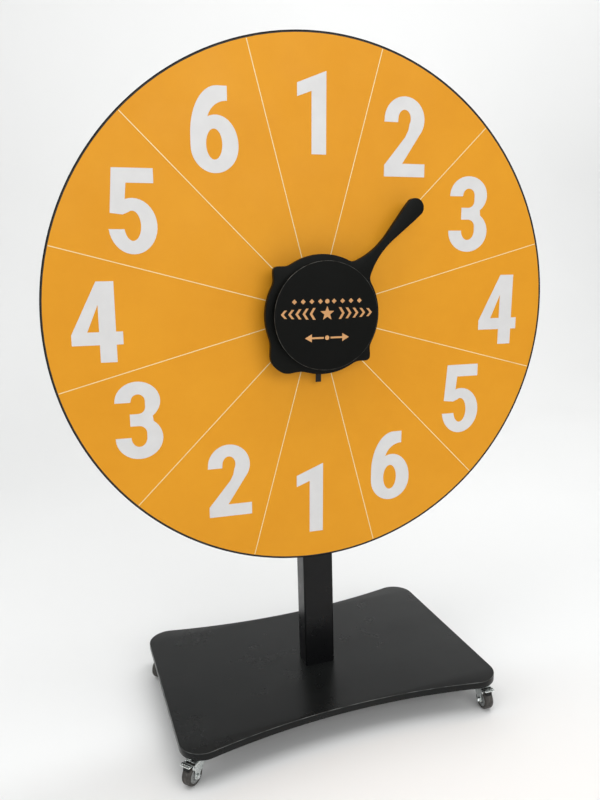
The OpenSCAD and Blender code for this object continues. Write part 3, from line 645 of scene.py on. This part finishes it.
def fork_mesh(trail, axle_z, has_brake):
    """Pressed-steel fork: one sheet bent over the wheel."""
    lug_depth, columns = 0.0114, 10
    path = fork_path(axle_z)
    full = path + [(-y, z, math.pi - a) for y, z, a in reversed(path)]
    mesh = bmesh.new()
    layers = []
    for shift in (0.0, CHEEK_T - 0.0001):
        grid = []
        for y, z, a in full:
            yy, zz = y - shift * math.cos(a), z - shift * math.sin(a)
            x0, x1 = cheek_edges(z, trail, axle_z, has_brake)
            if has_brake and 0 < a < math.pi:
                x1 -= lug_depth * math.sin(a)
            grid.append([mesh.verts.new((x0 + (x1 - x0) * i / columns, yy, zz))
                         for i in range(columns + 1)])
        layers.append(grid)
    rows = len(full)
    outer, inner = layers
    for grid, order in ((outer, 1), (inner, -1)):
        for j in range(rows - 1):
            for i in range(columns):
                quad = [grid[j][i], grid[j][i + 1], grid[j + 1][i + 1], grid[j + 1][i]]
                mesh.faces.new(quad[::order])
    for j in range(rows - 1):
        for i in (0, columns):
            mesh.faces.new((outer[j][i], outer[j + 1][i], inner[j + 1][i], inner[j][i]))
    for i in range(columns):
        for j in (0, rows - 1):
            mesh.faces.new((outer[j][i], outer[j][i + 1], inner[j][i + 1], inner[j][i]))
    bmesh.ops.recalc_face_normals(mesh, faces=mesh.faces)
    return mesh


def soften(obj, width):
    """Rounds the sharp edges as real geometry."""
    bevel = obj.modifiers.new("soft", "BEVEL")
    bevel.width = width
    bevel.segments = 2
    bevel.limit_method = "ANGLE"
    bevel.angle_limit = math.radians(40)
    graph = bpy.context.evaluated_depsgraph_get()
    mesh = bpy.data.meshes.new_from_object(obj.evaluated_get(graph))
    obj.modifiers.clear()
    obj.data = mesh
    mesh.shade_smooth()
    mesh.set_sharp_from_angle(angle=math.radians(50))
    return obj


def join(name, parts):
    """Several objects as one piece."""
    with bpy.context.temp_override(active_object=parts[0], selected_editable_objects=parts):
        bpy.ops.object.join()
    parts[0].name = name
    return parts[0]


def hex_loop(flats):
    """Hexagon, flats metres across."""
    r = flats / 2 / math.cos(math.radians(30))
    return arc(0, 0, r, 0, 300, 5)


def make_fork(key, place, trail, axle_z, has_brake):
    """Fork with its raised crown ring, which has a groove round it."""
    fork = soften(add("fork_" + key, fork_mesh(trail, axle_z, has_brake), ZINC), 0.0005)
    fork.data.transform(place)
    low, dip, top = 0.0546, 0.0566, FORK_TOP
    hole, rim = 0.0042, 0.0170
    profile = [(hole, low), (rim - 0.0005, low), (rim, low + 0.0004), (rim, dip),
               (rim - 0.0004, top), (0.0135, top), (0.0128, dip), (0.0090, dip),
               (0.0083, top), (hole, top)]
    crown = lathe("crown_" + key, profile, ZINC, place)
    whole = join("fork_" + key, [fork, crown])
    finish_piece(whole, "swivel_" + key, "zinc", f"caster_{key}_fork")


def make_axle(key, place, trail, axle_z):
    """Axle bolt with its hexagon head, two washers and lock nut."""
    across = across_axle(place, trail, axle_z)
    out = CHEEK_IN + CHEEK_T + 0.0001
    flats, head_h, nut_h, gap = 0.0100, 0.0038, 0.0048, 0.0002
    head = cut_sheet("axle_head", [hex_loop(flats)], head_h, 0.0004, ZINC,
                     across @ Matrix.Translation((0, 0, -out - gap - head_h)), 30)
    nut = cut_sheet("axle_nut", [hex_loop(flats)], nut_h, 0.0005, ZINC,
                    across @ Matrix.Translation((0, 0, out + gap)), 30)
    bore, washer_r, washer_t = 0.003, 0.0064, 0.0003
    washers = [
        lathe("washer", [(bore, z), (washer_r - 0.0002, z), (washer_r, z + 0.0001),
                         (washer_r, z + washer_t), (bore, z + washer_t)], ZINC, across, 48)
        for z in (-out - washer_t, out)
    ]
    shank_r, tip_r = 0.00299, 0.0024
    start, thread_end, tip = -out - 0.001, out + 0.0055, out + 0.0064
    shank = lathe("shank", [(0.0, start), (shank_r, start), (shank_r, thread_end),
                            (tip_r, tip), (0.0, tip)], ZINC, across, 32)
    axle = join("axle_" + key, [head, nut, shank, *washers])
    finish_piece(axle, "swivel_" + key, "zinc", f"caster_{key}_axle")


def make_tyre(key, across):
    """Tyre with rounded shoulders and a nearly flat tread."""
    side, lip, step = WHEEL_HALF - 0.0015, 0.0009, 0.0007
    soft, inset = 0.0059, 0.006
    mid, bulge = WHEEL_R - inset, WHEEL_HALF - inset
    flat, tread, drop = 0.0012, 0.0040, 0.0001
    profile = [(CORE_R, side), (CORE_R, -side), (CORE_R + step, -side - lip)]
    profile += arc(mid, -bulge, soft, 275, 350, 9)
    profile += [(WHEEL_R - drop, -tread), (WHEEL_R, -flat)]
    profile += [(WHEEL_R, flat), (WHEEL_R - drop, tread)]
    profile += arc(mid, bulge, soft, 10, 85, 9)
    profile += [(CORE_R + step, side + lip)]
    tyre = lathe("tyre_" + key, profile, RUBBER, across, 128, 40)
    finish_piece(tyre, "wheel_" + key, "tyre", f"caster_{key}_tyre")


def make_core(key, across):
    """Moulded core: hub boss, ribbed well, ring, groove and rim, the same on both sides."""
    face = [(0.0031, 0.0129), (0.0070, 0.0129), (0.0076, 0.0125), (0.0080, 0.0078),
            (0.0086, 0.0070), (0.0108, 0.0066), (0.0114, 0.0072), (0.0119, 0.0098),
            (0.0123, 0.0104), (0.0137, 0.0104), (0.0141, 0.0098), (0.0146, 0.0086),
            (0.0154, 0.0086), (0.0158, 0.0100), (0.0162, 0.0104), (0.0174, 0.0105)]
    profile = face + [(rad, -z) for rad, z in reversed(face)]
    core = lathe("core_" + key, profile, CORE, across, 96, 30)
    rib_size, rib_r, rib_z = (0.0040, 0.0013, 0.0024), 0.0098, 0.0078
    ribs = []
    for end in (-1, 1):
        for i in range(6):
            a = math.radians(60 * i + 30)
            rib = bmesh.new()
            bmesh.ops.create_cube(rib, size=1.0)
            rib.transform(Matrix.Diagonal((*rib_size, 1)))
            spot = Matrix.Rotation(a, 4, "Z") @ Matrix.Translation((rib_r, 0, end * rib_z))
            made = soften(add("rib", rib, CORE), 0.0003)
            made.data.transform(across @ spot)
            ribs.append(made)
    core = join("core_" + key, [core, *ribs])
    finish_piece(core, "wheel_" + key, "core_plastic", f"caster_{key}_core")


def round_rect(x0, y0, x1, y1, r, count):
    """Rectangle with rounded corners, count steps to each corner."""
    return (arc(x1 - r, y0 + r, r, 270, 360, count) + arc(x1 - r, y1 - r, r, 0, 90, count)
            + arc(x0 + r, y1 - r, r, 90, 180, count) + arc(x0 + r, y0 + r, r, 180, 270, count))


def pedal_tread(at_pin):
    """Foot tread with a row of four slots."""
    near, reach, half, soft = 0.006, 0.015, 0.014, 0.004
    loop = [(near, -half), *arc(reach - soft, soft - half, soft, 270, 360, 6),
            *arc(reach - soft, half - soft, soft, 0, 90, 6), (near, half)]
    slot_near, slot_far, slot_half, slot_soft, pitch = 0.0092, 0.0128, 0.0013, 0.0008, 0.006
    slots = [round_rect(slot_near, i * pitch - slot_half, slot_far, i * pitch + slot_half,
                        slot_soft, 3) for i in (-1.5, -0.5, 0.5, 1.5)]
    place = at_pin @ Matrix.Translation((0, 0, PEDAL_RISE))
    return cut_sheet("tread", [loop, *slots], 0.002, 0.0005, ZINC, place, 40)


def pedal_web(at_pin, inner):
    """Web that joins the tread to the hinge barrel."""
    root, far, top = 0.0025, 0.0070, PEDAL_RISE + 0.002
    loop = [(0.0, 0.001), (root, -0.001), (far, PEDAL_RISE), (far, top), (0.0050, top)]
    place = at_pin @ Matrix.Translation((0, inner, 0)) @ UPRIGHT
    return cut_sheet("web", [loop], 2 * inner, 0.0003, PLASTIC, place, 40)


def pedal_barrel(at_pin, inner):
    """Hinge barrel round the pin."""
    bore, r, soft = 0.0016, 0.0030, 0.0003
    profile = [(bore, -inner), (r - soft, -inner), (r, soft - inner),
               (r, inner - soft), (r - soft, inner), (bore, inner)]
    return lathe("barrel", profile, ZINC, at_pin @ UPRIGHT, 32)


def pedal_shoe(place, trail, axle_z, px, pz):
    """Curved shoe over the tyre, under the hinge at (px, pz)."""
    half, top = 0.008, pz - axle_z + 0.0015
    loop = arc(0, 0, SHOE_R + 0.0002, 44, 62, 10)
    loop += [(px - trail + 0.003, top), (px - trail + 0.008, top)]
    side_on = place @ Matrix.Translation((trail, half, axle_z)) @ UPRIGHT
    return cut_sheet("shoe", [loop], 2 * half, 0.0003, PLASTIC, side_on, 40)


def make_pedal(key, place, trail, axle_z):
    """Brake pedal: slotted tread, web, hinge barrel and shoe."""
    local = place.inverted() @ Vector(JOINTS["brake_" + key]["pos_m"])
    at_pin = place @ Matrix.Translation((local.x, 0, local.z))
    inner = CHEEK_IN - 0.0005
    parts = [pedal_tread(at_pin), pedal_web(at_pin, inner), pedal_barrel(at_pin, inner),
             pedal_shoe(place, trail, axle_z, local.x, local.z)]
    pedal = join("pedal_" + key, parts)
    finish_piece(pedal, "pedal_" + key, "zinc", f"brake_{key}_pedal")


def make_casters():
    for key in CORNERS:
        place, trail, axle_z = caster_place(key)
        has_brake = "brake_" + key in JOINTS
        make_fork(key, place, trail, axle_z, has_brake)
        make_axle(key, place, trail, axle_z)
        across = across_axle(place, trail, axle_z)
        make_tyre(key, across)
        make_core(key, across)
        if has_brake:
            make_pedal(key, place, trail, axle_z)


# ---------------------------------------------------------------- studio


def make_studio():
    """Pale floor that curves up into a pale wall behind."""
    s = Shade("studio_paint", Roughness=0.75)
    low, high = (0.795, 0.795, 0.790), (0.815, 0.815, 0.810)
    s.colour(s.ramp(s.noise(0.8, 2.0), [(0.3, low), (0.7, high)]))
    side, front, wall_foot, curve_r, wall_top, steps = 30.0, -30.0, 2.2, 1.6, 6.0, 16
    profile = [(front, 0.0), (wall_foot, 0.0)]
    for i in range(1, steps + 1):
        a = math.pi / 2 * i / steps
        profile.append((wall_foot + curve_r * math.sin(a), curve_r - curve_r * math.cos(a)))
    profile.append((wall_foot + curve_r, wall_top))
    mesh = bmesh.new()
    left = [mesh.verts.new((-side, y, z)) for y, z in profile]
    right = [mesh.verts.new((side, y, z)) for y, z in profile]
    for i in range(len(profile) - 1):
        mesh.faces.new((left[i], right[i], right[i + 1], left[i + 1]))
    floor = add("studio_floor", mesh, s.material)


def area_light(name, spot, aim, size, power):
    """Rectangular light at a spot, turned to what it aims at."""
    light = bpy.data.lights.new(name, "AREA")
    light.shape = "RECTANGLE"
    light.size, light.size_y = size
    light.energy = power
    obj = bpy.data.objects.new(name, light)
    bpy.context.scene.collection.objects.link(obj)
    obj.location = spot
    obj.rotation_euler = (Vector(aim) - Vector(spot)).to_track_quat("-Z", "Y").to_euler()


def make_world():
    """Soft room light: bright above, dimmer towards the horizon."""
    world = bpy.data.worlds.new("studio_world")
    bpy.context.scene.world = world
    world.use_nodes = True
    nodes, links = world.node_tree.nodes, world.node_tree.links
    where = nodes.new("ShaderNodeTexCoord")
    split = nodes.new("ShaderNodeSeparateXYZ")
    ramp = nodes.new("ShaderNodeValToRGB")
    ramp.color_ramp.elements[0].color = (0.66, 0.67, 0.68, 1)
    ramp.color_ramp.elements[1].color = (0.98, 1.0, 1.0, 1)
    links.new(where.outputs["Generated"], split.inputs["Vector"])
    links.new(split.outputs["Z"], ramp.inputs["Fac"])
    links.new(ramp.outputs["Color"], nodes["Background"].inputs["Color"])
    nodes["Background"].inputs["Strength"].default_value = 0.56


def make_lights():
    """Name, place, aim, size in metres and power in watts of each light."""
    area_light("overhead", (0.0, -0.5, 4.4), (0, 0, 0.4), (4.0, 3.0), 80)
    area_light("front_high", (0.5, -4.2, 2.5), (0, 0, 0.7), (4.0, 2.0), 75)
    area_light("left_high", (-4.0, -0.8, 2.4), (0, 0, 0.6), (2.5, 2.5), 24)
    area_light("backdrop", (2.6, 0.8, 4.4), (2.2, 3.6, 1.8), (6.0, 1.5), 90)


def make_camera():
    """Camera to the left of the dial, looking right and a little down, with a slight roll."""
    spot = Vector((-0.5371, -1.6713, 1.1793))
    azimuth, elevation, roll = (math.radians(v) for v in (17.09, -12.574, -1.521))
    forward = Vector((math.sin(azimuth) * math.cos(elevation),
                      math.cos(azimuth) * math.cos(elevation), math.sin(elevation)))
    level = Vector((math.cos(azimuth), -math.sin(azimuth), 0))
    right = level * math.cos(roll) + level.cross(forward) * math.sin(roll)
    up = right.cross(forward)
    data = bpy.data.cameras.new("camera")
    data.lens = 32.72
    data.sensor_width = 36.0
    data.sensor_fit = "AUTO"
    camera = bpy.data.objects.new("camera", data)
    bpy.context.scene.collection.objects.link(camera)
    turn = Matrix((right, up, -forward)).transposed().to_4x4()
    camera.matrix_world = Matrix.Translation(spot) @ turn
    bpy.context.scene.camera = camera


make_base()
make_dial_band()
make_pan()
make_cover()
make_casters()
make_studio()
make_world()
make_lights()
make_camera()
bpy.context.scene.view_settings.view_transform = "Standard"
